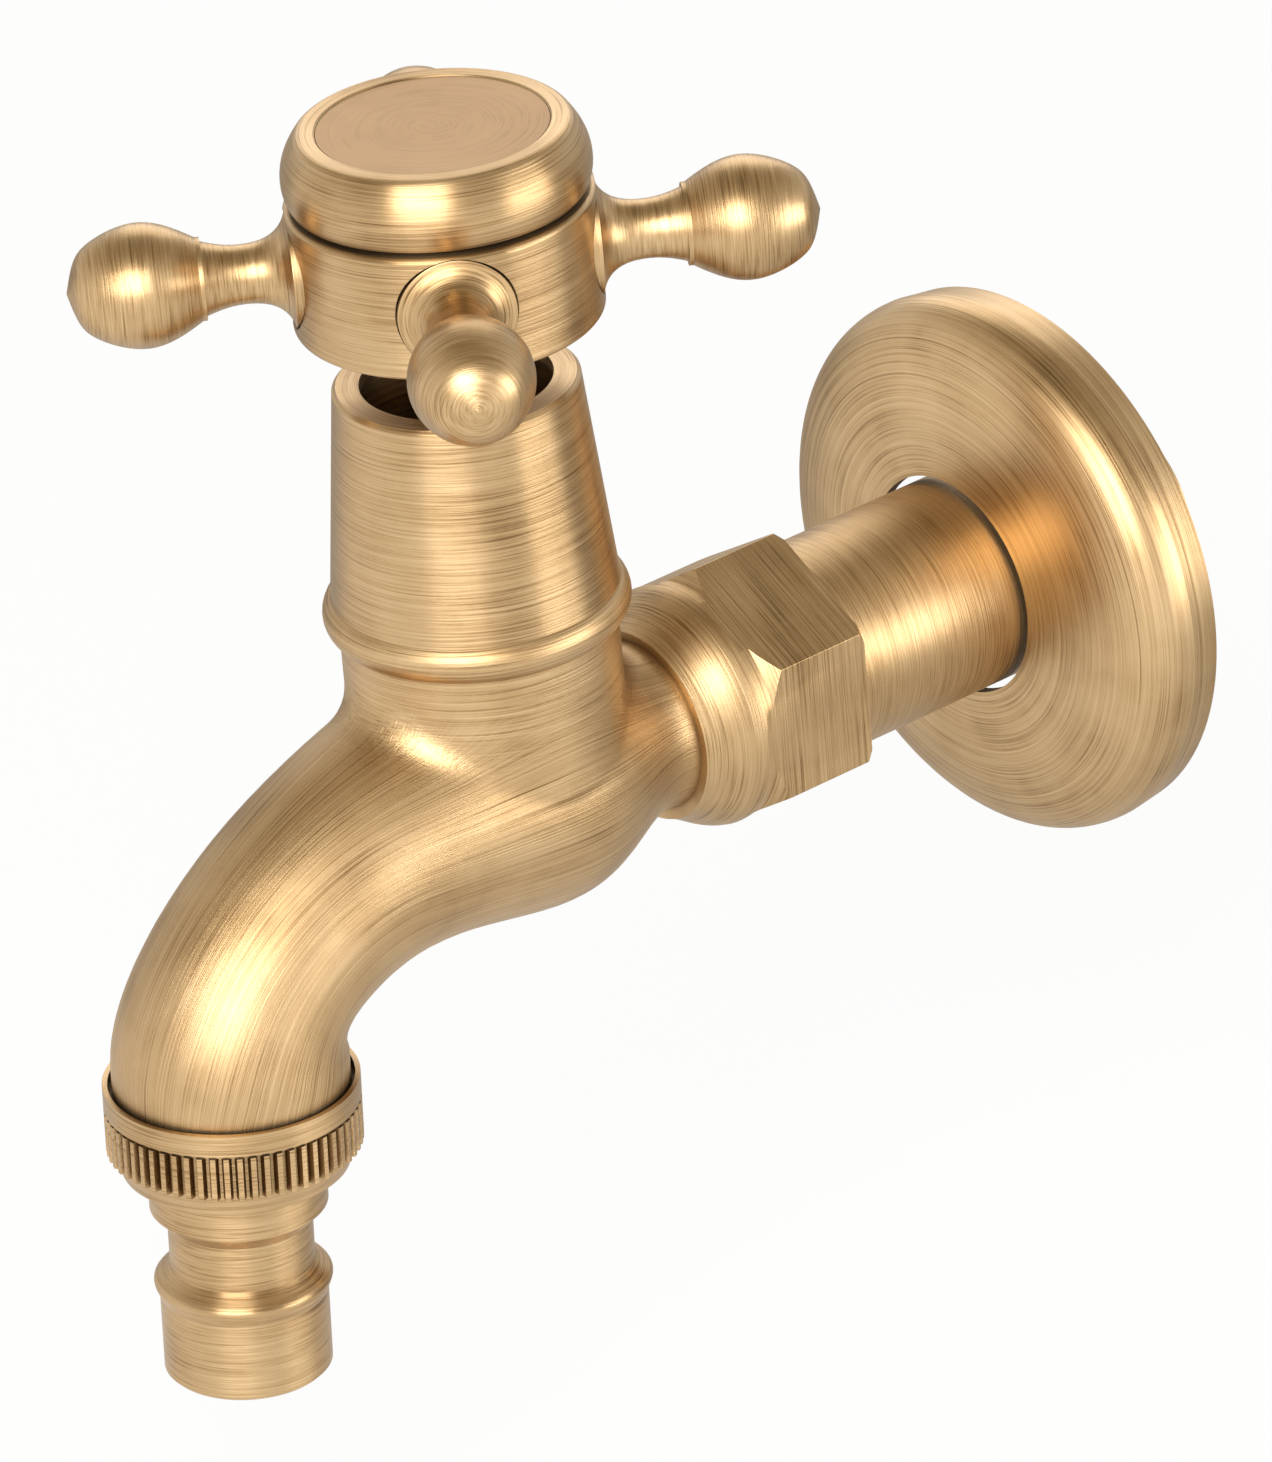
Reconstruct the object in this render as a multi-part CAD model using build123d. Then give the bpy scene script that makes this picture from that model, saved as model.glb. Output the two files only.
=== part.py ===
from build123d import *
import math
import os

os.makedirs("parts", exist_ok=True)

# Wall-mounted cross-head tap in cast brass, millimetres.
# The inlet axis lies along Y at the origin, the wall face is Y = 0, and +Z is up.

# The bonnet axis stands this far from the wall, and the spout is set out from it
bonnet_reach = 67.0

# Inlet: G1/2 thread, shank, spanner hexagon and shoulder
inlet_thread_d = 20.955
inlet_tail = 13.0
inlet_chamfer = 1.0
relief_start = 0.5
relief_end = 2.0
relief_d = 18.4
inlet_bore_d = 14.0
inlet_bore_end = bonnet_reach - 13.5
hex_across_flats = 23.5
hex_corner_d = 27.1
hex_start = 30.8
hex_end = 43.6
hex_run_out_r = 11.2
hex_edge = 0.5
hex_rise = 1.2
shoulder_d = 24.4
shoulder_middle = 45.4
shoulder_middle_d = 22.9
shoulder_end = 49.0
shoulder_tip_d = 19.0

# Spout horn: distance past the bonnet axis, height, radius and slope below level
horn_root_d = 19.2
horn_root_overlap = 2.0
horn_sections = [
    (-10.0, 0.6, 10.9, 0.0),
    (-1.0, 1.2, 13.2, 4.0),
    (11.7, 1.0, 11.6, 10.0),
    (21.0, -1.5, 10.5, 25.0),
    (28.4, -6.0, 10.3, 52.0),
    (32.6, -11.0, 10.7, 77.0),
]
bend_start = 3
outlet_tilt = 2.8
outlet_reach = bonnet_reach + 32.633
outlet_top = -14.4
outlet_d = 22.2
outlet_shoulder = -17.3
outlet_thread_d = 20.955
outlet_thread_pitch = 1.814
outlet_end = -21.1
water_way_d = 11.0
water_way_top = 4.2
water_way_start = bonnet_reach + 7.0

# Bonnet: neck, collar and the seat that the valve closes on
neck_d = 26.0
neck_fillet = 4.5
neck_root_lowest = 3.0
collar_bottom = 18.5
collar_middle = 20.1
collar_top = 22.0
collar_d = 28.8
collar_edge_d = 27.0
chamber_d = 22.0
chamber_top = 10.0
seat_height = 2.0
seat_hole_d = 11.0
seat_hole_depth = 9.5
cross_way_d = 8.0
cross_way_height = -3.4
cross_way_overlap = 4.0
gland_thread_d = 20.8
gland_seal_h = 1.0
gland_recess_h = 1.5

# Bell cover over the valve head
bell_bottom_d = 27.0
bell_top_d = 23.06
bell_top = 43.16
bell_wall = 1.3
bell_hole_d = 18.0
bell_edge = 0.4

# Valve head
gland_flange_d = 23.0
gland_flange_h = 3.0
gland_barrel_d = 18.0
gland_top_d = 15.0
gland_top = 34.0
spindle_d = 8.0
spindle_foot_d = 15.2
spindle_foot_h = 3.0
seal_h = 2.0
disc_h = 3.0
disc_d = 15.6
disc_lug_w = 2.4
disc_lug_reach = 8.7
port_inner_d = 4.0
port_outer_d = 12.6
port_angle = 70.0
window_land = 0.3
key_w = 3.0
key_h = 1.2
slip_washer_h = 0.6
slip_washer_d = 14.6
ring_section_d = 1.0
ring_heights = (26.5, 30.0)
circlip_h = 0.8
circlip_d = 11.0
circlip_gap = 3.0

# Handle: hub, four turned arms, cap and index disc
hub_gap = 6.54
hub_d = 28.7
hub_h = 12.0
hub_edge = 0.5
drive_square = 5.6
drive_h = 7.3
drive_slack = 0.5
cap_spigot_d = 18.0
cap_spigot_h = 2.8
cap_reveal = 0.5
cap_reveal_depth = 3.3
cap_h = 6.5
cap_bulge_at = 3.1
cap_inset = 0.15
cap_bottom_inset = 0.65
cap_top_inset = 1.55
cap_round = 0.9
index_recess_d = 21.8
index_disc_d = 21.4
index_set_back = 0.15
index_disc_h = 1.0
arm_count = 4
arm_lift = 0.24
arm_turn = 56.0
arm_base_d = 10.9
arm_base_sink = 1.65
arm_base_h = 1.4
arm_seat_gap = 0.15
arm_neck_d = 5.5
arm_neck_from_base = 4.2
arm_ridge_d = 7.7
arm_ridge_from_base = 8.0
arm_ridge_h = 0.4
arm_ridge_depth = 0.4
arm_bulb_d = 11.5
arm_bulb_from_base = 14.2
arm_shoulder_d = 8.4
arm_shoulder_from_base = 18.4
arm_length = 20.5
arm_stud_d = 4.2
arm_stud_h = 4.7
screw_d = 4.0
screw_head_d = 7.0
screw_head_h = 2.4
screw_length = 10.0
screw_socket_d = 3.0
washer_d = 9.6
washer_h = 0.6

# Union nut and hose nozzle on the tilted outlet
nut_d = 24.0
nut_top = -16.5
nut_mouth_d = 23.0
nut_mouth_h = 1.1
nut_line = -18.6
nut_line_w = 0.3
nut_line_depth = 0.35
knurl_end = -23.15
knurl_teeth = 60
knurl_depth = 0.6
knurl_bite = 0.05
knurl_wall_step = 0.3
nut_bottom = -25.2
nut_bottom_d = 21.4
nut_lip_h = 1.2
nozzle_ring_d = 16.72
nozzle_ring_end = -29.4
nozzle_neck_d = 13.6
nozzle_neck_start = -31.0
nozzle_neck_end = -35.6
nozzle_bead_at = -37.1
nozzle_bead_end = -38.7
nozzle_tail_d = 15.8
nozzle_end = -46.6
nozzle_edge = 0.4
nozzle_bore_d = 11.0
nozzle_flange_d = 20.4
nozzle_flange_h = 1.4
nozzle_washer_h = 1.5
nozzle_washer_bore_d = 13.0

# Wall flange, a pressed dish that slips over the shank
flange_d = 54.6
flange_back_d = 53.8
flange_depth = 10.0
flange_hole_d = 22.24
flange_sheet = 1.2
flange_rim_h = 3.2
flange_bulge_d = 46.0
flange_bulge_depth = 8.5

# Clearances
running = 0.05
slack = 0.25
seat_gap = 0.3

inlet_r = inlet_thread_d / 2
bonnet_place = Location((0, -bonnet_reach, 0))
outlet_place = Location((0, -outlet_reach, 0)) * Location((0, 0, 0), (-outlet_tilt, 0, 0))

# Heights up the handle, each from the piece that carries it
hub_bottom = bell_top + hub_gap
hub_top = hub_bottom + hub_h
drive_top = hub_bottom + drive_h
hub_web_top = drive_top + drive_slack
cap_bottom = hub_top + cap_reveal
cap_top = cap_bottom + cap_h
cap_middle = cap_bottom + cap_bulge_at
index_disc_top = cap_top - index_set_back
arm_height = hub_bottom + hub_h / 2 + arm_lift
arm_base_start = hub_d / 2 - arm_base_sink
arm_base_edge = arm_base_start + arm_base_h
arm_stud_start = arm_base_start - arm_stud_h
arm_tip = arm_base_edge + arm_length


def turned(edges):
    """Turn a closed outline of radius and height about Z."""
    upright = [Plane.XZ * edge for edge in edges]
    return revolve(make_face(upright), axis=Axis.Z)


def outline(*points):
    """A closed straight-sided outline of radius and height."""
    return [Polyline(*points, close=True)]


def ring(outer_d, inner_d, bottom, height):
    """A flat ring about Z."""
    outer, inner = outer_d / 2, inner_d / 2
    top = bottom + height
    return turned(outline((inner, bottom), (outer, bottom), (outer, top), (inner, top)))


def rod(diameter, bottom, top):
    """A plain cylinder about Z."""
    upward = (Align.CENTER, Align.CENTER, Align.MIN)
    return Pos(0, 0, bottom) * Cylinder(diameter / 2, top - bottom, align=upward)


def along_wall_axis(shape):
    """Lay a shape turned about Z along the inlet, so that its height runs out from the wall."""
    return Rot(90, 0, 0) * shape


# The handle's pieces share the seat heights worked out here.
seal_top = seat_height + seal_h
moving_disc_bottom = seal_top + disc_h
foot_bottom = moving_disc_bottom + disc_h
foot_top = foot_bottom + spindle_foot_h
bore_top = foot_top + slip_washer_h
gland_seat = collar_top - gland_recess_h + gland_seal_h
nozzle_seat = outlet_end - nozzle_washer_h
nut_lip_top = nozzle_seat - nozzle_flange_h


def horn_plane(reach, height, slope):
    """The plane across the horn at one section, facing along the flow."""
    lean = math.radians(slope)
    return Plane((0, -reach, height), x_dir=(1, 0, 0), z_dir=(0, -math.cos(lean), -math.sin(lean)))


def outlet_section(height, radius):
    """The last horn section, square to the tilted outlet."""
    centre = outlet_place * Location((0, 0, height))
    where = centre.position
    return horn_plane(-where.Y, where.Z, 90 - outlet_tilt) * Circle(radius)


def horn():
    """The curved spout, from the shoulder to the start of the straight outlet."""
    sections = [horn_plane(shoulder_end - horn_root_overlap, 0, 0) * Circle(horn_root_d / 2)]
    for past, height, radius, slope in horn_sections:
        sections.append(horn_plane(bonnet_reach + past, height, slope) * Circle(radius))
    sections.append(outlet_section(outlet_top, outlet_d / 2))
    return loft(sections)


def inlet_outside():
    """Shoulder, spanner hexagon and threaded shank, turned about the inlet axis."""
    tip, widest = shoulder_tip_d / 2, shoulder_d / 2
    corner = hex_corner_d / 2
    rise_start = hex_end - hex_rise
    rise_end = rise_start - (hex_corner_d - shoulder_d) / 2
    middle = (shoulder_middle_d / 2, shoulder_middle)
    shoulder = Spline((widest, rise_start), middle, (tip, shoulder_end), tangents=[(0, 1), (-0.3, 1)])
    sides = Polyline(
        (tip, shoulder_end),
        (0, shoulder_end),
        (0, -inlet_tail),
        (inlet_r - inlet_chamfer, -inlet_tail),
        (inlet_r, -inlet_tail + inlet_chamfer),
        (inlet_r, relief_start),
        (relief_d / 2, relief_start),
        (relief_d / 2, relief_end),
        (inlet_r, relief_end),
        (inlet_r, hex_start),
        (corner - hex_edge, hex_start),
        (corner, hex_start + hex_edge),
        (corner, rise_end),
        (widest, rise_start),
    )
    solid = turned([shoulder, sides])
    flat = hex_across_flats / 2
    cutter = Pos(flat, 0, hex_end - hex_run_out_r) * Rot(0, 90, 0) * Cylinder(
        hex_run_out_r, corner, align=(Align.CENTER, Align.CENTER, Align.MIN))
    below = Pos(0, 0, hex_start - hex_run_out_r) * Box(4 * corner, 4 * corner, 2 * hex_run_out_r)
    for turn in range(6):
        solid -= Rot(0, 0, 60 * turn) * (cutter - below)
    return along_wall_axis(solid)


def neck_outside():
    """The upright neck that carries the bonnet collar."""
    neck, bead, edge = neck_d / 2, collar_d / 2, collar_edge_d / 2
    bead_side = ThreePointArc((edge, collar_bottom), (bead, collar_middle), (edge, collar_top))
    rest = Polyline((edge, collar_top), (0, collar_top), (0, collar_bottom), (edge, collar_bottom))
    return rod(neck_d, 0, collar_bottom), turned([bead_side, rest])


def water_ways():
    """Everything that is bored out of the casting."""
    inlet = along_wall_axis(rod(inlet_bore_d, -inlet_tail, inlet_bore_end))
    cross = along_wall_axis(rod(cross_way_d, inlet_bore_end - cross_way_overlap, bonnet_reach))
    cross = Pos(0, 0, cross_way_height) * cross
    under_seat = rod(seat_hole_d, seat_height - seat_hole_depth, seat_height)
    chamber = rod(chamber_d, seat_height, chamber_top)
    thread = rod(gland_thread_d + 2 * running, chamber_top, collar_top)
    recess = rod(gland_flange_d + 2 * slack, collar_top - gland_recess_h, collar_top)
    upright = bonnet_place * (under_seat + chamber + thread + recess)
    bend = [(0, -bonnet_reach - past, height) for past, height, radius, slope in horn_sections[bend_start:]]
    top = outlet_place * Location((0, 0, outlet_top))
    mouth = outlet_place * Location((0, 0, outlet_end))
    start = (0, -water_way_start, water_way_top)
    down = (mouth.position - top.position).normalized()
    path = Spline(start, *bend, top.position, tangents=[(0, -1, 0), down])
    bent = sweep(Plane(path @ 0, z_dir=path % 0) * Circle(water_way_d / 2), path)
    straight = outlet_place * rod(water_way_d, outlet_end, outlet_top)
    return [inlet, cross, upright, bent, straight]


def body_casting():
    """One casting: inlet, horn, neck, collar and outlet thread."""
    neck, collar = neck_outside()
    solid = horn() + bonnet_place * neck
    joint = [edge for edge in solid.edges() if on_neck_root(edge)]
    solid = fillet(joint, neck_fillet)
    tail = rod(outlet_d, outlet_shoulder, outlet_top) + rod(outlet_thread_d, outlet_end, outlet_shoulder)
    solid = solid + bonnet_place * collar + outlet_place * tail + inlet_outside()
    for way in water_ways():
        solid -= way
    return solid


def on_neck_root(edge):
    """True for the edges where the neck meets the horn."""
    middle = edge @ 0.5
    away = math.hypot(middle.X, middle.Y + bonnet_reach)
    return abs(away - neck_d / 2) < running and neck_root_lowest < middle.Z < collar_bottom - running


def wall_flange():
    """The pressed dish that hides the hole in the wall."""
    hole, rim = flange_hole_d / 2, flange_d / 2
    crown, sheet = flange_depth, flange_sheet
    bulge, bulge_depth = flange_bulge_d / 2, flange_bulge_depth
    slope = [(1, -0.05), (0, -1)]
    outside = Spline((hole, crown), (bulge, bulge_depth), (rim, flange_rim_h), tangents=slope)
    inner_bulge = (bulge - 0.5 * sheet, bulge_depth - 0.9 * sheet)
    inside = Spline((hole, crown - sheet), inner_bulge, (rim - sheet, flange_rim_h), tangents=slope)
    back = flange_back_d / 2
    sides = [
        Line((hole, crown), (hole, crown - sheet)),
        Line((rim - sheet, flange_rim_h), (back - sheet, 0)),
        Line((back - sheet, 0), (back, 0)),
        Line((back, 0), (rim, flange_rim_h)),
    ]
    return along_wall_axis(turned([outside, inside] + sides))


def bell_cover():
    """The tapered cover, screwed onto the valve head's flange."""
    bottom, top = bell_bottom_d / 2, bell_top_d / 2
    grip = gland_flange_d / 2 + running
    grip_top = gland_seat + gland_flange_h + seat_gap
    skirt = bottom - bell_wall - (bottom - top) * (grip_top - collar_top) / (bell_top - collar_top)
    return bonnet_place * turned(outline(
        (grip, collar_top),
        (bottom, collar_top),
        (top, bell_top - bell_edge),
        (top - bell_edge, bell_top),
        (bell_hole_d / 2, bell_top),
        (bell_hole_d / 2, bell_top - bell_wall),
        (top - bell_wall, bell_top - bell_wall),
        (max(skirt, grip), grip_top),
        (grip, grip_top),
    ))


def headwork_gland():
    """The valve head: barrel with side windows, thread, flange and spindle bore."""
    barrel, thread, flange = gland_barrel_d / 2, gland_thread_d / 2, gland_flange_d / 2
    bore = spindle_d / 2 + running
    inside = disc_d / 2 + slack
    flange_top = gland_seat + gland_flange_h
    solid = turned(outline(
        (inside, seal_top),
        (barrel, seal_top),
        (barrel, chamber_top),
        (thread, chamber_top),
        (thread, gland_seat),
        (flange, gland_seat),
        (flange, flange_top),
        (gland_top_d / 2, flange_top),
        (gland_top_d / 2, gland_top),
        (bore, gland_top),
        (bore, bore_top),
        (inside, bore_top),
    ))
    window = Box(disc_d / 2, 2 * gland_barrel_d, disc_h - 2 * window_land)
    window = Pos(0, 0, moving_disc_bottom + disc_h / 2) * window
    slot = Pos(0, 0, seal_top + disc_h / 2) * Box(2 * gland_barrel_d, disc_lug_w + slack, disc_h)
    return bonnet_place * (solid - window - slot)


def gland_seal():
    """The flat ring under the valve head's flange."""
    inner_d = gland_thread_d + 2 * slack
    return bonnet_place * ring(gland_flange_d - slack, inner_d, gland_seat - gland_seal_h, gland_seal_h)


def port(bottom, height, outer_d, turn):
    """A sector-shaped hole through a ceramic disc."""
    reach = outer_d / 2
    half = math.radians(port_angle / 2)
    wedge = Polyline(
        (0, 0),
        (2 * reach * math.cos(half), -2 * reach * math.sin(half)),
        (2 * reach * math.cos(half), 2 * reach * math.sin(half)),
        close=True,
    )
    shape = make_face(wedge) & Circle(reach)
    shape -= Circle(port_inner_d / 2)
    return Pos(0, 0, bottom) * Rot(0, 0, turn) * extrude(shape, height)


def seat_seal():
    """The rubber ring between the casting's seat and the fixed disc."""
    return bonnet_place * ring(disc_d, seat_hole_d + 2 * slack, seat_height, seal_h)


def fixed_ceramic_disc():
    """The lower disc, held by two lugs in the valve head's slots."""
    solid = rod(disc_d, seal_top, seal_top + disc_h)
    solid += Pos(0, 0, seal_top + disc_h / 2) * Box(2 * disc_lug_reach, disc_lug_w, disc_h)
    for turn in (90, 270):
        solid -= port(seal_top, disc_h, port_outer_d, turn)
    return bonnet_place * solid


def moving_ceramic_disc():
    """The upper disc, a quarter turn away from the open position."""
    solid = rod(disc_d - slack, moving_disc_bottom, foot_bottom)
    for turn in (0, 180):
        solid -= port(moving_disc_bottom, disc_h, 2 * disc_d, turn)
    key_slot = Pos(0, 0, foot_bottom - key_h / 2) * Box(key_w + 2 * running, disc_d, key_h)
    return bonnet_place * (solid - key_slot)


def spindle():
    """The stem, with a driving key below and a square above."""
    solid = rod(spindle_foot_d, foot_bottom, foot_top) + rod(spindle_d, foot_top, hub_bottom)
    key = Pos(0, 0, foot_bottom - key_h / 2) * Box(key_w, spindle_foot_d, key_h)
    solid += key & rod(spindle_foot_d, foot_bottom - key_h, foot_bottom)
    square_height = drive_top - hub_bottom
    solid += Pos(0, 0, hub_bottom + square_height / 2) * Box(drive_square, drive_square, square_height)
    solid -= rod(screw_d, drive_top - screw_length, drive_top)
    groove = ring(2 * spindle_d, spindle_d - 2 * ring_section_d, 0, ring_section_d + slack)
    for height in ring_heights:
        solid -= Pos(0, 0, height - (ring_section_d + slack) / 2) * groove
    solid -= ring(2 * spindle_d, spindle_d - 2 * circlip_h, gland_top + running, circlip_h)
    return bonnet_place * solid


def spindle_o_rings():
    """Two rubber rings in the stem's grooves."""
    section = ring_section_d / 2
    rings = [Pos(0, 0, height) * Torus(spindle_d / 2 - section, section) for height in ring_heights]
    return Compound([bonnet_place * shape for shape in rings])


def spindle_circlip():
    """The open spring ring that keeps the stem in the valve head."""
    solid = ring(circlip_d, spindle_d - 2 * circlip_h, gland_top + running, circlip_h)
    gap = Pos(circlip_d / 2, 0, gland_top) * Box(circlip_d, circlip_gap, 4 * circlip_h)
    return bonnet_place * (solid - gap)


def slip_washer():
    """The low-friction ring between the stem's foot and the valve head."""
    return bonnet_place * ring(slip_washer_d, spindle_d + 2 * slack, foot_top, slip_washer_h)


def handle_hub():
    """The round hub, bored for the stem, the arms and the cap."""
    solid = rod(hub_d, hub_bottom, hub_top)
    rims = [edge for edge in solid.edges() if edge.geom_type == GeomType.CIRCLE]
    solid = fillet(rims, hub_edge)
    hole = drive_square + 2 * running
    web = hub_web_top - hub_bottom
    solid -= Pos(0, 0, hub_bottom + web / 2) * Box(hole, hole, web)
    solid -= rod(washer_d + 2 * slack, hub_web_top, hub_top)
    solid -= rod(cap_spigot_d + 2 * running, hub_top - cap_spigot_h - slack, hub_top)
    for index in range(arm_count):
        seat = rod(arm_base_d + 2 * arm_seat_gap, arm_base_start, hub_d)
        stud = rod(arm_stud_d + 2 * running, arm_stud_start - slack, hub_d)
        solid -= arm_place(index) * (seat + stud)
    return bonnet_place * solid


def arm_place(index):
    """The place of one arm, with its own height pointing out from the hub."""
    turn = arm_turn + 360 / arm_count * index
    return Location((0, 0, arm_height), (0, 0, turn)) * Location((0, 0, 0), (90, 0, 0))


def handle_arm(index):
    """One turned arm: stud, base disc, waist, ridge, bulb and pointed tip."""
    base, neck = arm_base_d / 2, arm_neck_d / 2
    ridge, bulb = arm_ridge_d / 2, arm_bulb_d / 2
    ridge_root = ridge - arm_ridge_depth
    ridge_at = arm_base_edge + arm_ridge_from_base
    ridge_end = ridge_at + arm_ridge_h
    waist = (neck, arm_base_edge + arm_neck_from_base)
    slopes = [(-1, 0.25), (0.35, 1)]
    flare = Spline((base, arm_base_edge), waist, (ridge_root, ridge_at), tangents=slopes)
    swell = Spline(
        (ridge, ridge_end),
        (bulb, arm_base_edge + arm_bulb_from_base),
        (arm_shoulder_d / 2, arm_base_edge + arm_shoulder_from_base),
        (0, arm_tip),
        tangents=[(0.6, 1), (-1, 0.25)],
    )
    ledge = Polyline((ridge_root, ridge_at), (ridge, ridge_at), (ridge, ridge_end))
    root = Polyline(
        (0, arm_tip),
        (0, arm_stud_start),
        (arm_stud_d / 2, arm_stud_start),
        (arm_stud_d / 2, arm_base_start),
        (base, arm_base_start),
        (base, arm_base_edge),
    )
    return bonnet_place * arm_place(index) * turned([flare, ledge, swell, root])


def handle_cap():
    """The domed cap, with a spigot below and a recess for the index disc."""
    hub = hub_d / 2
    foot, low = hub - cap_reveal_depth, hub - cap_bottom_inset
    wide, high = hub - cap_inset, hub - cap_top_inset
    spigot, floor = cap_spigot_d / 2, index_disc_top - index_disc_h
    hollow = washer_d / 2 + slack
    hollow_top = cap_bottom
    crown_start = (high, cap_top - 0.4 * cap_round)
    crown_middle = (high - 0.4 * cap_round, cap_top - 0.09 * cap_round)
    side = Spline((low, cap_bottom), (wide, cap_middle), crown_start, tangents=[(0.6, 1), (-0.75, 1)])
    crown = ThreePointArc(crown_start, crown_middle, (high - cap_round, cap_top))
    recess = index_disc_d / 2 + running
    inner = Polyline(
        (high - cap_round, cap_top),
        (index_recess_d / 2, cap_top),
        (recess, index_disc_top),
        (recess, floor),
        (0, floor),
        (0, hollow_top),
        (hollow, hollow_top),
        (hollow, hub_top - cap_spigot_h),
        (spigot, hub_top - cap_spigot_h),
        (spigot, hub_top),
        (foot, hub_top),
        (foot, cap_bottom),
        (low, cap_bottom),
    )
    return bonnet_place * turned([side, crown, inner])


def index_disc():
    """The plain disc in the cap's recess."""
    return bonnet_place * rod(index_disc_d, index_disc_top - index_disc_h, index_disc_top)


def screw_washer():
    """The washer under the handle screw."""
    return bonnet_place * ring(washer_d, screw_d + 2 * slack, hub_web_top, washer_h)


def handle_screw():
    """The socket screw that holds the handle on the stem."""
    seat = hub_web_top + washer_h
    solid = rod(screw_head_d, seat, seat + screw_head_h)
    solid += rod(screw_d, drive_top - screw_length + slack, seat)
    socket = extrude(RegularPolygon(screw_socket_d / 2, 6), screw_head_h)
    return bonnet_place * (solid - Pos(0, 0, seat + screw_head_h / 3) * socket)


def union_nut():
    """The knurled nut: plain rim, straight knurl, chamfer and inner lip."""
    outer, mouth = nut_d / 2, nut_mouth_d / 2
    bore = outlet_thread_d / 2 + running
    lip = nozzle_ring_d / 2 + running
    root = outer - knurl_depth
    line = outer - nut_line_depth
    core = turned(outline(
        (mouth, nut_top),
        (outer, nut_top),
        (outer, nut_line),
        (line, nut_line),
        (line, nut_line - nut_line_w),
        (root, nut_line - nut_line_w),
        (root, knurl_end),
        (nut_bottom_d / 2, nut_bottom),
        (lip, nut_bottom),
        (lip, nut_lip_top),
        (bore, nut_lip_top),
        (bore, nut_top - nut_mouth_h),
        (mouth, nut_top - nut_mouth_h),
    ))
    groove = root - knurl_bite
    pitch = 2 * math.pi / knurl_teeth
    points = []
    for tooth in range(knurl_teeth):
        for step, radius in ((0.0, outer), (0.4, outer), (0.6, groove), (0.8, groove)):
            angle = (tooth + step) * pitch
            points.append((radius * math.cos(angle), radius * math.sin(angle)))
    band_h = nut_line - nut_line_w - knurl_end
    band = extrude(make_face(Polyline(*points, close=True)) - Circle(bore + knurl_wall_step), band_h)
    return outlet_place * (core + Pos(0, 0, knurl_end) * band)


def hose_nozzle():
    """The turned nozzle: flange, ring, waist, bead and hose tail."""
    wide, neck, tail = nozzle_ring_d / 2, nozzle_neck_d / 2, nozzle_tail_d / 2
    bore, flange = nozzle_bore_d / 2, nozzle_flange_d / 2
    bead = Spline(
        (neck, nozzle_neck_end),
        (wide, nozzle_bead_at),
        (tail, nozzle_bead_end),
        tangents=[(0.8, -1), (-0.3, -1)],
    )
    upper = Polyline(
        (bore, nozzle_seat),
        (flange, nozzle_seat),
        (flange, nut_lip_top),
        (wide, nut_lip_top),
        (wide, nozzle_ring_end),
        (neck, nozzle_neck_start),
        (neck, nozzle_neck_end),
    )
    lower = Polyline(
        (tail, nozzle_bead_end),
        (tail, nozzle_end + nozzle_edge),
        (tail - nozzle_edge, nozzle_end),
        (bore, nozzle_end),
        (bore, nozzle_seat),
    )
    return outlet_place * turned([upper, bead, lower])


def nozzle_washer():
    """The flat seal between the outlet and the nozzle."""
    outer_d = nozzle_flange_d - 2 * slack
    return outlet_place * ring(outer_d, nozzle_washer_bore_d, nozzle_seat, nozzle_washer_h)


pieces = {
    "body_casting": body_casting(),
    "wall_flange": wall_flange(),
    "bell_cover": bell_cover(),
    "headwork_gland": headwork_gland(),
    "gland_seal": gland_seal(),
    "seat_seal": seat_seal(),
    "fixed_ceramic_disc": fixed_ceramic_disc(),
    "moving_ceramic_disc": moving_ceramic_disc(),
    "spindle": spindle(),
    "spindle_o_rings": spindle_o_rings(),
    "spindle_circlip": spindle_circlip(),
    "slip_washer": slip_washer(),
    "handle_hub": handle_hub(),
    "handle_cap": handle_cap(),
    "index_disc": index_disc(),
    "screw_washer": screw_washer(),
    "handle_screw": handle_screw(),
    "union_nut": union_nut(),
    "hose_nozzle": hose_nozzle(),
    "nozzle_washer": nozzle_washer(),
}
for index, side in enumerate(("front", "right", "back", "left")):
    pieces["arm_" + side] = handle_arm(index)

for name, shape in pieces.items():
    export_step(shape, "parts/" + name + ".step")
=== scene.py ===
import bpy
import math
from mathutils import Matrix, Vector


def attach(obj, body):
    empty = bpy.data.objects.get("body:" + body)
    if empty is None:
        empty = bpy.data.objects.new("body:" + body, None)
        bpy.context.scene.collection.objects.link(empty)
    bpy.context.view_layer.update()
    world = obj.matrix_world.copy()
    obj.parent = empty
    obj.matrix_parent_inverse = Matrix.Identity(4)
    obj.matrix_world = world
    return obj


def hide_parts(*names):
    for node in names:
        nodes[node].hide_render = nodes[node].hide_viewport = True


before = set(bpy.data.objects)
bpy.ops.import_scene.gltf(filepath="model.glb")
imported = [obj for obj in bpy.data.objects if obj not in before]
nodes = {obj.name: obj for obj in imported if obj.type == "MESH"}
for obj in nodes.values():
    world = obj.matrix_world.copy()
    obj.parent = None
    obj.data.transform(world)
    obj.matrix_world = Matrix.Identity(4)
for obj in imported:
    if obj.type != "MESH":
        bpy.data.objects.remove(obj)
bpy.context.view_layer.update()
print("frame loaded:", len(nodes), "nodes")

bonnetReach = 0.067  # from the wall to the bonnet's axis
outletReach = 0.099633  # from the wall to the outlet's axis, at the inlet's height
outletTilt = math.radians(2.8)
lightSide = (0.36, -0.93)  # x and y of the side that the studio is lit on
tiny = 1e-6  # keeps a divisor off zero


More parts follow.
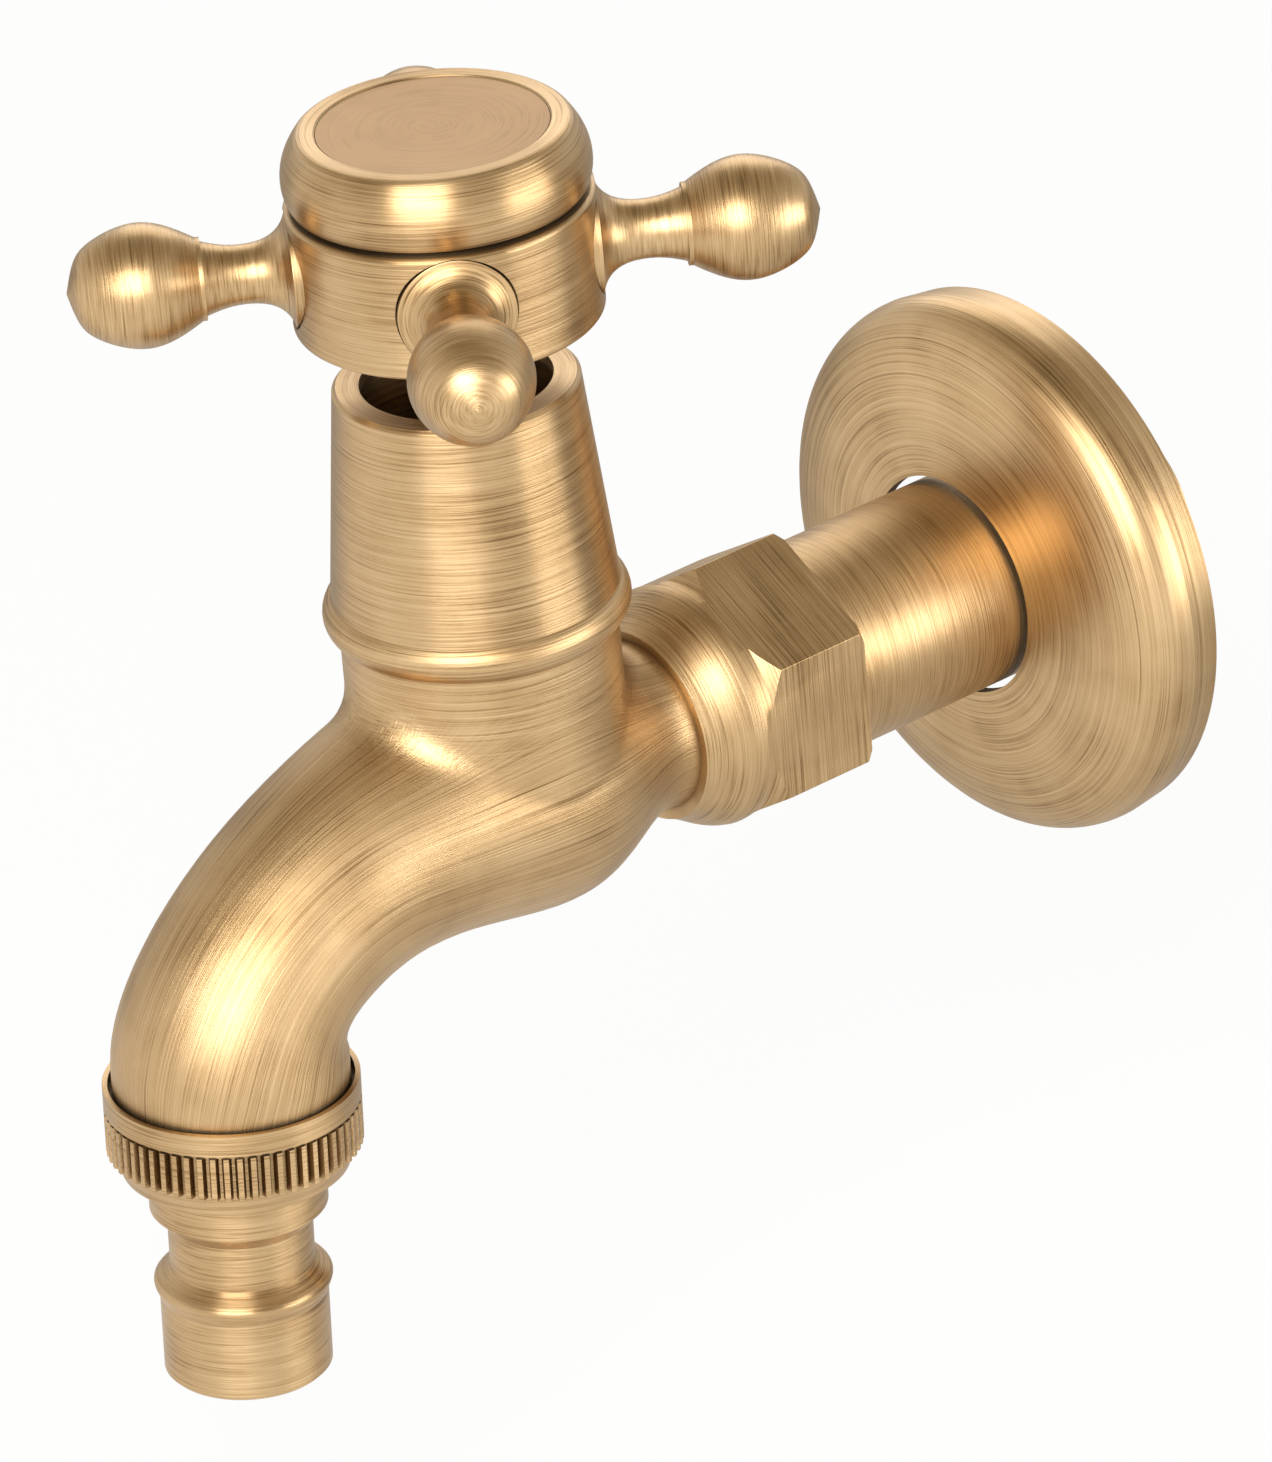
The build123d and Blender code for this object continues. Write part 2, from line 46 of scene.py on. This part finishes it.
class Wire:  # one shader value, so that maths reads as maths
    def __init__(self, bench, socket):
        self.bench = bench
        self.socket = socket

    def maths(self, operation, *values):
        return self.bench.add("ShaderNodeMath", {"operation": operation}, dict(enumerate(values)))

    def __add__(self, other):
        return self.maths("ADD", self, other)

    def __radd__(self, other):
        return self.maths("ADD", other, self)

    def __sub__(self, other):
        return self.maths("SUBTRACT", self, other)

    def __rsub__(self, other):
        return self.maths("SUBTRACT", other, self)

    def __mul__(self, other):
        return self.maths("MULTIPLY", self, other)

    def __rmul__(self, other):
        return self.maths("MULTIPLY", other, self)

    def __truediv__(self, other):
        return self.maths("DIVIDE", self, other)

    def __rtruediv__(self, other):
        return self.maths("DIVIDE", other, self)

    def __gt__(self, other):
        return self.maths("GREATER_THAN", self, other)

    def __lt__(self, other):
        return self.maths("LESS_THAN", self, other)

    def root(self):
        return self.maths("SQRT", self)

    def higher(self, other):
        return self.maths("MAXIMUM", self, other)

    def lower(self, other):
        return self.maths("MINIMUM", self, other)

    def between(self, least, most):
        return self.higher(least).lower(most)


class Bench:  # one tree of nodes, a finish's or the world's
    def __init__(self, owner, shader="Principled BSDF"):
        owner.use_nodes = True
        self.owner = owner
        self.tree = owner.node_tree
        self.shader = self.tree.nodes[shader]

    def add(self, kind, settings=None, values=None, out=0):
        node = self.tree.nodes.new(kind)
        for key, value in (settings or {}).items():
            if key == "stops":
                self.setStops(node.color_ramp, value)
            else:
                setattr(node, key, value)
        for key, value in (values or {}).items():
            self.feed(node.inputs[key], value)
        return Wire(self, node.outputs[out])

    def setStops(self, ramp, stops):
        while len(ramp.elements) < len(stops):
            ramp.elements.new(0.5)  # it gets its own place below
        for element, (place, colour) in zip(ramp.elements, stops):
            element.position = place
            element.color = colour

    def feed(self, socket, value):
        if isinstance(value, Wire):
            self.tree.links.new(value.socket, socket)
        else:
            socket.default_value = value

    def finish(self, values):
        for key, value in values.items():
            self.feed(self.shader.inputs[key], value)
        return self.owner

    def split(self, vector):
        first = self.add("ShaderNodeSeparateXYZ", None, {0: vector})
        return [Wire(self, socket) for socket in first.socket.node.outputs]

    def spot(self, centre=(0, 0, 0), turn=(0, 0, 0)):  # x, y and z about a piece's own axis
        where = self.add("ShaderNodeTexCoord", out="Object")
        moved = self.add("ShaderNodeVectorMath", {"operation": "SUBTRACT"}, {0: where, 1: centre})
        if any(turn):
            settings = {"rotation_type": "EULER_XYZ"}
            moved = self.add("ShaderNodeVectorRotate", settings, {"Vector": moved, "Rotation": turn})
        return self.split(moved)

    def grain(self, across, upward, along, last=0.0):  # strokes run where the last two change slowly
        vector = self.add("ShaderNodeCombineXYZ", None, {0: across, 1: upward, 2: along})
        values = {"Vector": vector, "W": last, "Scale": 1.0, "Detail": 3.0}
        return self.add("ShaderNodeTexNoise", {"noise_dimensions": "4D"}, values)

    def cloud(self, scale, detail):  # broad patches
        where = self.add("ShaderNodeTexCoord", out="Object")
        return self.add("ShaderNodeTexNoise", None, {"Vector": where, "Scale": scale, "Detail": detail})

    def mix(self, factor, first, second):  # of two colours, which have these sockets
        return self.add("ShaderNodeMix", {"data_type": "RGBA"}, {0: factor, 6: first, 7: second}, out=2)

    def ray(self, kind):
        return self.add("ShaderNodeLightPath", out=kind)


def newFinish(name):
    return Bench(bpy.data.materials.new(name))


def deselectAll():
    bpy.ops.object.select_all(action="DESELECT")


def outward(azimuth, elevation):  # from the tap to a place round it, with 0, 0 straight in front
    turn, rise = math.radians(azimuth), math.radians(elevation)
    return Vector((math.sin(turn) * math.cos(rise), -math.cos(turn) * math.cos(rise), math.sin(rise)))


threadValues = {
    "pitch": 0.001814,
    "crest": 0.0104775,
    "root": 0.00930,
    "sunk": 0.00020,  # the ridge starts this far inside the root
    "rootWidth": 0.00150,
    "crestWidth": 0.00030,
    "steps": 72,  # in one turn
    "mergeGap": 2e-6,
    "endSlack": 1e-6,
    "crestSlack": 1e-4,
    "ridgeAngle": math.radians(25),  # sharper edges than this stay sharp
    "bodyAngle": math.radians(28),
    "ends": {  # a thread's origin and direction, then the stretches that are cut and ridged
        "inletRidge": ((0, 0, 0), (0, 1, 0), (-0.0005, 0.013), (-0.0003, 0.0126)),
        "spoutRidge": ((0, -outletReach, 0), (0, -math.sin(outletTilt), -math.cos(outletTilt)),
                       (0.0173, 0.0211), (0.0175, 0.0210)),
    },
}


def placeAlong(origin, direction):  # a frame whose z runs along a thread
    turn = Vector(direction).to_track_quat("Z", "Y").to_matrix().to_4x4()
    return Matrix.Translation(Vector(origin)) @ turn


def cutToRoot(piece, place, start, end, values):  # lower a plain stretch to the thread's root
    back = place.inverted()
    most = values["crest"] + values["crestSlack"]
    for vertex in piece.data.vertices:
        local = back @ vertex.co
        reach = math.hypot(local.x, local.y)
        onStretch = start - values["endSlack"] < local.z < end + values["endSlack"]
        if onStretch and values["root"] < reach < most:
            shrink = values["root"] / reach
            vertex.co = place @ Vector((local.x * shrink, local.y * shrink, local.z))


def addRidge(name, place, start, end, values):  # one helical ridge, swept by the screw modifier
    turns = (end - start - values["rootWidth"]) / values["pitch"]
    deselectAll()
    bpy.ops.mesh.primitive_plane_add(size=1.0)
    ridge = bpy.context.object
    ridge.name = name
    low, high = values["root"] - values["sunk"], values["crest"]
    half, tip = values["rootWidth"] / 2, values["crestWidth"] / 2
    middle = start + half
    corners = {(-1, -1): (low, -half), (1, -1): (high, -tip), (1, 1): (high, tip), (-1, 1): (low, half)}
    for vertex in ridge.data.vertices:  # the plane's corners become the ridge's section
        reach, height = corners[(round(2 * vertex.co.x), round(2 * vertex.co.y))]
        vertex.co = (reach, 0, middle + height)
    bpy.ops.object.mode_set(mode="EDIT")
    bpy.ops.mesh.select_all(action="SELECT")
    bpy.ops.mesh.delete(type="ONLY_FACE")
    bpy.ops.object.mode_set(mode="OBJECT")
    screw = ridge.modifiers.new("sweep", "SCREW")
    screw.axis = "Z"
    screw.angle = 2 * math.pi * turns
    screw.screw_offset = values["pitch"] * turns
    screw.steps = int(values["steps"] * turns)
    screw.render_steps = screw.steps
    bpy.ops.object.modifier_apply(modifier=screw.name)
    bpy.ops.object.mode_set(mode="EDIT")
    bpy.ops.mesh.select_all(action="DESELECT")
    bpy.ops.mesh.select_mode(type="EDGE")
    bpy.ops.mesh.select_non_manifold()  # the two open ends
    bpy.ops.mesh.fill()
    bpy.ops.mesh.select_all(action="SELECT")
    bpy.ops.mesh.normals_make_consistent(inside=False)
    bpy.ops.object.mode_set(mode="OBJECT")
    ridge.data.transform(place)
    bpy.ops.object.shade_smooth_by_angle(angle=values["ridgeAngle"])
    return ridge


def threadBody(values):  # the casting again, with real threads on its two ends
    deselectAll()
    source = nodes["body_casting"]
    body = source.copy()
    body.data = source.data.copy()
    body.name = "threaded_body"
    bpy.context.collection.objects.link(body)
    body.parent = None
    body.matrix_world = Matrix.Identity(4)
    bpy.context.view_layer.objects.active = body
    body.select_set(True)
    bpy.ops.object.mode_set(mode="EDIT")
    bpy.ops.mesh.select_all(action="SELECT")
    bpy.ops.mesh.customdata_custom_splitnormals_clear()
    bpy.ops.mesh.remove_doubles(threshold=values["mergeGap"])
    bpy.ops.object.mode_set(mode="OBJECT")
    ridges = []
    for name, (origin, direction, cut, run) in values["ends"].items():
        place = placeAlong(origin, direction)
        cutToRoot(body, place, *cut, values)
        ridges.append(addRidge(name, place, *run, values))
    deselectAll()
    for part in ridges + [body]:
        part.select_set(True)
    bpy.context.view_layer.objects.active = body
    bpy.ops.object.join()
    bpy.ops.object.shade_smooth_by_angle(angle=values["bodyAngle"])
    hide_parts("body_casting")
    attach(body, "body")
    return body


threadedBody = threadBody(threadValues)
print("threads cut:", len(threadedBody.data.polygons), "faces")


brassLook = {
    "deep": (0.200, 0.113, 0.045, 1),
    "middle": (0.475, 0.312, 0.152, 1),
    "light": (0.620, 0.440, 0.242, 1),
    "toneStops": (0.31, 0.47, 0.66),  # where those three lie
    "patchScale": 120.0,
    "patchDetail": 4.0,
    "strokeShare": 0.68,  # of the tone, and the rest is patches
    "strokesPerMetre": 6800.0,
    "strokesRound": 1.1,  # more makes shorter strokes round an axis
    "strokeDepth": 0.00005,
    "bump": 0.55,
    "roughness": 0.35,
    "roughnessSpread": 0.20,
    "stretch": 0.0,  # how far glints run across the strokes
    "stretchTurn": 0.25,
    "sootAndShade": (0.045, 0.025, 0.011, 1),  # dirt and painted shade in the recesses
    "crevice": 0.0014,  # a wall this near makes a recess
    "creviceRays": 6,
    "dirtAndShadeGain": 1.5,
    "dirtAndShadeStart": 0.35,
    "dirtAndShadeMost": 0.85,
    "dirtRoughness": 0.25,
}


def axisReach(first, second):  # distance from an axis
    return (first * first + second * second).root().higher(tiny)


def roundStrokes(bench, x, y, z, look):  # lathe lines about a piece's own z
    reach = axisReach(x, y)
    fine, slow = look["strokesPerMetre"], look["strokesRound"]
    return bench.grain(reach * fine, z * fine, y / reach * slow, x / reach * slow)


def finishBrass(bench, strokes, look):
    patches = bench.cloud(look["patchScale"], look["patchDetail"])
    tone = strokes * look["strokeShare"] + patches * (1 - look["strokeShare"])
    stops = list(zip(look["toneStops"], (look["deep"], look["middle"], look["light"])))
    warm = bench.add("ShaderNodeValToRGB", {"stops": stops}, {0: tone})
    # ambient occlusion darkens the colour towards soot in recesses and between parts: partly real dirt,
    # partly painted shade where less light reaches
    settings = {"samples": look["creviceRays"]}
    openness = bench.add("ShaderNodeAmbientOcclusion", settings, {"Distance": look["crevice"]}, out="AO")
    dirtAndShade = ((1.0 - openness) * look["dirtAndShadeGain"] - look["dirtAndShadeStart"]).between(0.0, look["dirtAndShadeMost"])
    spread = look["roughnessSpread"]
    rough = strokes * spread + (look["roughness"] - spread / 2) + dirtAndShade * look["dirtRoughness"]
    relief = {"Strength": look["bump"], "Distance": look["strokeDepth"], "Height": strokes}
    return bench.finish({
        "Base Color": bench.mix(dirtAndShade, warm, look["sootAndShade"]),
        "Roughness": rough,
        "Normal": bench.add("ShaderNodeBump", None, relief),
        "Metallic": 1.0,
        "Anisotropic": look["stretch"],
        "Anisotropic Rotation": look["stretchTurn"],
    })


def turnedBrass(name, centre, turn, look):
    bench = newFinish(name)
    x, y, z = bench.spot(centre, turn)
    return finishBrass(bench, roundStrokes(bench, x, y, z, look), look)


hornValues = {
    "bendY": -0.083,  # the centre that the horn bends about
    "bendZ": -0.022,
    "bendRadius": 0.0225,
    "roundShare": 0.014,  # turns strokes in a metre into strokes round the horn
    "runY": 50.0,  # more makes shorter strokes along the horn
    "runZ": 25.0,
    "inletEnd": -0.0493,  # the hexagon and what is behind it are turned, not brushed along
    "neckStart": 0.007,  # the neck's rings come in over this height
    "neckRise": 0.008,
    "neckRadius": 0.014,  # and go out past this
    "neckFade": 0.005,
}


def longStrokes(bench, x, y, z, look, horn):  # brushed along the horn, round its bend
    past = (y - horn["bendY"]).lower(0.0)
    up = z - horn["bendZ"]
    lift = (past * past + up * up).root() - horn["bendRadius"]  # height over the horn's middle line
    around = axisReach(x, lift)
    fine = look["strokesPerMetre"] * horn["roundShare"]
    return bench.grain(x / around * fine, lift / around * fine, y * horn["runY"] + z * horn["runZ"])


def castBrass(name, look, horn):
    bench = newFinish(name)
    x, y, z = bench.spot()
    along = longStrokes(bench, x, y, z, look, horn)
    fine, slow = look["strokesPerMetre"], look["strokesRound"]
    inletReach = axisReach(x, z)
    inlet = bench.grain(0.0, y * fine, z / inletReach * slow, x / inletReach * slow)
    neckY = y + bonnetReach
    neck = roundStrokes(bench, x, neckY, z, look)
    onInlet = y > horn["inletEnd"]
    climb = ((z - horn["neckStart"]) / horn["neckRise"]).between(0.0, 1.0)
    past = (axisReach(x, neckY) - horn["neckRadius"]) / horn["neckFade"]
    onNeck = climb * (1.0 - past).between(0.0, 1.0) * (1.0 - onInlet)
    strokes = along * (1.0 - onInlet - onNeck) + inlet * onInlet + neck * onNeck
    return finishBrass(bench, strokes, look)


armValues = {
    "names": ("arm_front", "arm_right", "arm_back", "arm_left"),
    "height": 0.05594,
    "turn": 56.0,  # of the front arm, and each next one is a quarter turn on
}


def armBrass(name, angle, height):  # lathe lines about an arm's own length
    bench = newFinish(name + "Brass")
    x, y, z = bench.spot((0, -bonnetReach, height))
    out = x * math.sin(angle) - y * math.cos(angle)
    side = x * math.cos(angle) + y * math.sin(angle)
    return finishBrass(bench, roundStrokes(bench, side, z, out, brassLook), brassLook)


def paint(material, *pieces):
    for piece in pieces:
        piece.data.materials.clear()
        piece.data.materials.append(material)


def paintNodes(material, *names):
    paint(material, *(nodes[name] for name in names))


bonnet = (0, -bonnetReach, 0)
outlet = (0, -outletReach, 0)
inlet = (0, 0, 0)
upright = (0, 0, 0)
facingWall = (math.radians(90), 0, 0)
castLook = dict(brassLook, deep=(0.17, 0.095, 0.036, 1), roughness=0.39, strokeDepth=0.00008)
uprightLook = dict(brassLook, stretch=0.8)
flangeLook = dict(brassLook, middle=(0.53, 0.352, 0.175, 1), light=(0.68, 0.487, 0.27, 1))
discLook = dict(
    brassLook,
    deep=(0.39, 0.246, 0.138, 1),
    middle=(0.515, 0.344, 0.196, 1),
    light=(0.575, 0.398, 0.235, 1),
    roughness=0.6,
    strokeDepth=0.00002,
)
paint(castBrass("castBody", castLook, hornValues), nodes["body_casting"], threadedBody)
bonnetBrass = turnedBrass("bonnetBrass", bonnet, upright, uprightLook)
paintNodes(bonnetBrass, "bell_cover", "handle_cap", "handle_hub")
paintNodes(turnedBrass("discBrass", bonnet, upright, discLook), "index_disc")
outletBrass = turnedBrass("outletBrass", outlet, (outletTilt, 0, 0), uprightLook)
paintNodes(outletBrass, "union_nut", "hose_nozzle")
paintNodes(turnedBrass("flangeBrass", inlet, facingWall, flangeLook), "wall_flange")
for index, armName in enumerate(armValues["names"]):
    armAngle = math.radians(armValues["turn"]) + index * math.pi / 2
    paintNodes(armBrass(armName, armAngle, armValues["height"]), armName)


speckValues = {
    "detail": 4.0,
    "bump": 0.25,
    "depth": 0.00002,
    "roughness": 0.15,
}
plainLooks = {
    "machinedBrass": {
        "nodes": ("headwork_gland", "spindle"),
        "colour": (0.30, 0.20, 0.09),
        "roughness": 0.36,
        "metallic": 1.0,
        "speckScale": 900.0,
        "speckShade": 0.7,
    },
    "blackRubber": {
        "nodes": ("gland_seal", "seat_seal", "spindle_o_rings", "nozzle_washer"),
        "colour": (0.022, 0.021, 0.020),
        "roughness": 0.6,
        "metallic": 0.0,
        "speckScale": 700.0,
        "speckShade": 0.5,
    },
    "lappedCeramic": {
        "nodes": ("fixed_ceramic_disc", "moving_ceramic_disc"),
        "colour": (0.82, 0.80, 0.75),
        "roughness": 0.3,
        "metallic": 0.0,
        "speckScale": 600.0,
        "speckShade": 0.9,
    },
    "plainSteel": {
        "nodes": ("spindle_circlip", "screw_washer", "handle_screw"),
        "colour": (0.55, 0.55, 0.56),
        "roughness": 0.3,
        "metallic": 1.0,
        "speckScale": 800.0,
        "speckShade": 0.75,
    },
    "slipPlastic": {
        "nodes": ("slip_washer",),
        "colour": (0.85, 0.84, 0.80),
        "roughness": 0.45,
        "metallic": 0.0,
        "speckScale": 500.0,
        "speckShade": 0.9,
    },
}


def plainFinish(name, look, speck):  # an even finish with faint specks
    bench = newFinish(name)
    patches = bench.cloud(look["speckScale"], speck["detail"])
    dark = (*(part * look["speckShade"] for part in look["colour"]), 1)
    relief = {"Strength": speck["bump"], "Distance": speck["depth"], "Height": patches}
    return bench.finish({
        "Base Color": bench.mix(patches, dark, (*look["colour"], 1)),
        "Roughness": patches * speck["roughness"] + look["roughness"],
        "Normal": bench.add("ShaderNodeBump", None, relief),
        "Metallic": look["metallic"],
    })


for finishName, plainLook in plainLooks.items():
    paintNodes(plainFinish(finishName, plainLook, speckValues), *plainLook["nodes"])
print("finishes on all nodes")


viewValues = {
    "azimuth": 52.31,
    "elevation": 27.44,
    "roll": -4.96,
    "aim": (0, -0.05, 0),
    "aside": (0.0002, -0.0002),  # across and up
    "distance": 1.0,
    "lens": 260.77,
    "sensor": 36.0,
}


def addCamera(values):
    back = outward(values["azimuth"], values["elevation"])
    right = outward(values["azimuth"] + 90, 0)
    up = back.cross(right)
    roll = math.radians(values["roll"])
    across = math.cos(roll) * right + math.sin(roll) * up
    above = math.cos(roll) * up - math.sin(roll) * right
    aside = values["aside"][0] * across + values["aside"][1] * above
    place = Vector(values["aim"]) + aside + values["distance"] * back
    deselectAll()
    bpy.ops.object.camera_add()
    camera = bpy.context.object
    columns = [(*axis, 0) for axis in (across, above, back)] + [(*place, 1)]
    camera.matrix_world = Matrix(columns).transposed()
    camera.data.sensor_fit = "VERTICAL"
    camera.data.sensor_height = values["sensor"]
    camera.data.lens = values["lens"]
    bpy.context.scene.camera = camera


lightValues = {
    "target": (0, -0.055, 0.01),
    "distance": 0.9,
    "size": 0.60,
    "panels": {  # azimuth, elevation, power
        "frontPanel": (38.0, 32.0, 7.6),
        "backPanel": (228.0, 30.0, 1.6),
        "sidePanel": (120.0, 2.0, 5.4),
    },
}


def addLights(values):
    for name, (azimuth, elevation, power) in values["panels"].items():
        away = outward(azimuth, elevation)
        place = Vector(values["target"]) + values["distance"] * away
        turn = away.to_track_quat("Z", "Y").to_euler()
        deselectAll()
        bpy.ops.object.light_add(type="AREA", location=place, rotation=turn)
        lamp = bpy.context.object
        lamp.name = name
        lamp.data.size = values["size"]
        lamp.data.energy = power


worldValues = {
    "horizon": 1.1,
    "zenith": 0.42,
    "low": (1, 1, 1, 1),
    "high": (1, 0.87, 0.64, 1),  # warmer overhead
    "riseStart": 0.35,
    "riseEnd": 0.95,
    "fill": 0.5,  # what matt surfaces get from all sides
    "behind": 0.72,  # share of the light that is left behind the tap
    "sideStart": -0.7,
    "sideEnd": 0.5,
}


def addWorld(values):
    world = bpy.data.worlds.new("studioWorld")
    bpy.context.scene.world = world
    bench = Bench(world, "Background")
    x, y, z = bench.split(bench.add("ShaderNodeTexCoord", out="Generated"))
    rise = ((z - values["riseStart"]) / (values["riseEnd"] - values["riseStart"])).between(0.0, 1.0)
    facing = x * lightSide[0] + y * lightSide[1]
    side = ((facing - values["sideStart"]) / (values["sideEnd"] - values["sideStart"])).between(0.0, 1.0)
    fade = rise * (values["zenith"] - values["horizon"]) + values["horizon"]
    shade = fade * (side * (1 - values["behind"]) + values["behind"])
    diffuse = bench.ray("Is Diffuse Ray")
    bench.finish({
        "Color": bench.mix(rise, values["low"], values["high"]),
        "Strength": shade * (1.0 - diffuse) + diffuse * values["fill"],
    })


floorValues = {
    "height": -0.075,
    "size": 30.0,
    "patchScale": 3.0,
    "patchDetail": 3.0,
    "dim": (0.86, 0.86, 0.86, 1),
    "pale": (0.9, 0.9, 0.9, 1),
    "roughness": 0.9,
    "backTable": (0.42, 0.40, 0.36, 1),  # in reflections the table is dim behind and lit in front
    "frontTable": (1.28, 1.28, 1.28, 1),
    "tableStart": 0.16,  # it lightens from this far behind the bonnet
    "tableLength": 0.26,
    "white": (1, 1, 1, 1),
    "glow": 0.9,  # the rest is shaded, so the tap keeps its shadow
}


def addFloor(values):
    deselectAll()
    bpy.ops.mesh.primitive_plane_add(size=values["size"], location=(0, 0, values["height"]))
    floor = bpy.context.object
    floor.name = "floor"
    bench = newFinish("paleFloor")
    patches = bench.cloud(values["patchScale"], values["patchDetail"])
    tint = bench.mix(patches, values["dim"], values["pale"])
    bench.finish({"Base Color": tint, "Roughness": values["roughness"]})
    glossy = bench.ray("Is Glossy Ray")
    seen = bench.ray("Is Camera Ray").higher(glossy).higher(bench.ray("Is Transmission Ray"))
    x, y, z = bench.spot(bonnet)
    ahead = x * lightSide[0] + y * lightSide[1] + values["tableStart"]
    front = (ahead / values["tableLength"]).between(0.0, 1.0)
    table = bench.mix(front, values["backTable"], values["frontTable"])
    shine = bench.mix(glossy, values["white"], table)
    glow = bench.add("ShaderNodeEmission", None, {"Color": shine, "Strength": 1.0})
    shaded = Wire(bench, bench.shader.outputs[0])
    surface = bench.add("ShaderNodeMixShader", None, {0: seen * values["glow"], 1: shaded, 2: glow})
    bench.feed(bench.tree.nodes["Material Output"].inputs["Surface"], surface)
    paint(bench.owner, floor)


addCamera(viewValues)
addLights(lightValues)
addWorld(worldValues)
addFloor(floorValues)
bpy.context.scene.view_settings.view_transform = "Standard"
print("camera, lights and floor set")
